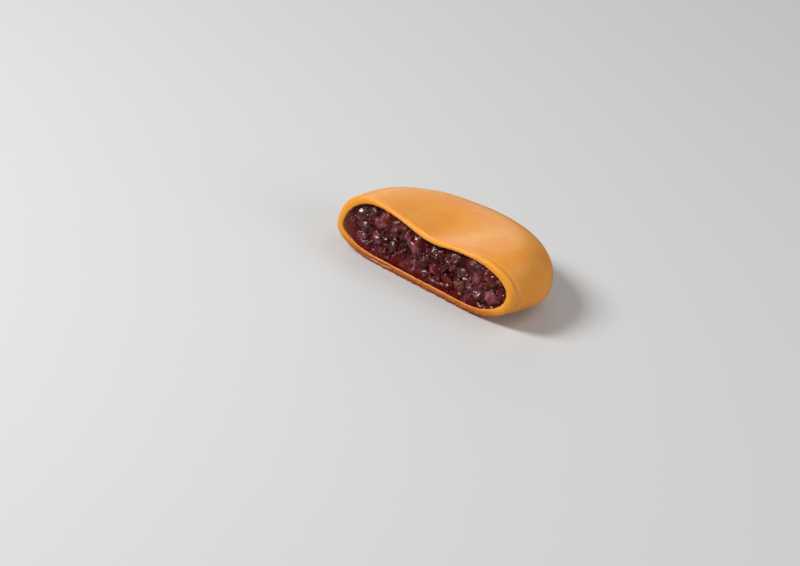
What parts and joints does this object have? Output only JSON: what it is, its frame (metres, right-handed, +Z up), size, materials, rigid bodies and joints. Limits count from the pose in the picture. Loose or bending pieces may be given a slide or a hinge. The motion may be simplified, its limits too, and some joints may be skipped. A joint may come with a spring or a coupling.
{
  "type": "manju",
  "caption": "Cut half of a baked bun: a golden dough skin around a whole-bean sweet paste that shows at the cut; lies on its flat underside.",
  "frame": {"origin": "middle of the whole bun's flat underside, before the cut, on the surface it lies on", "axes": "+X along the cut, +Y from the cut to the uncut back, +Z up from the flat underside"},
  "size_m": [0.063, 0.0383, 0.0177],
  "materials": {
    "baked_dough": "satin baked dough skin, golden brown",
    "bean_paste": "wet, glossy dark red-brown beans and paste"
  },
  "bodies": {
    "root": {"skin": "baked_dough", "filling": "bean_paste"}
  },
  "joints": []
}
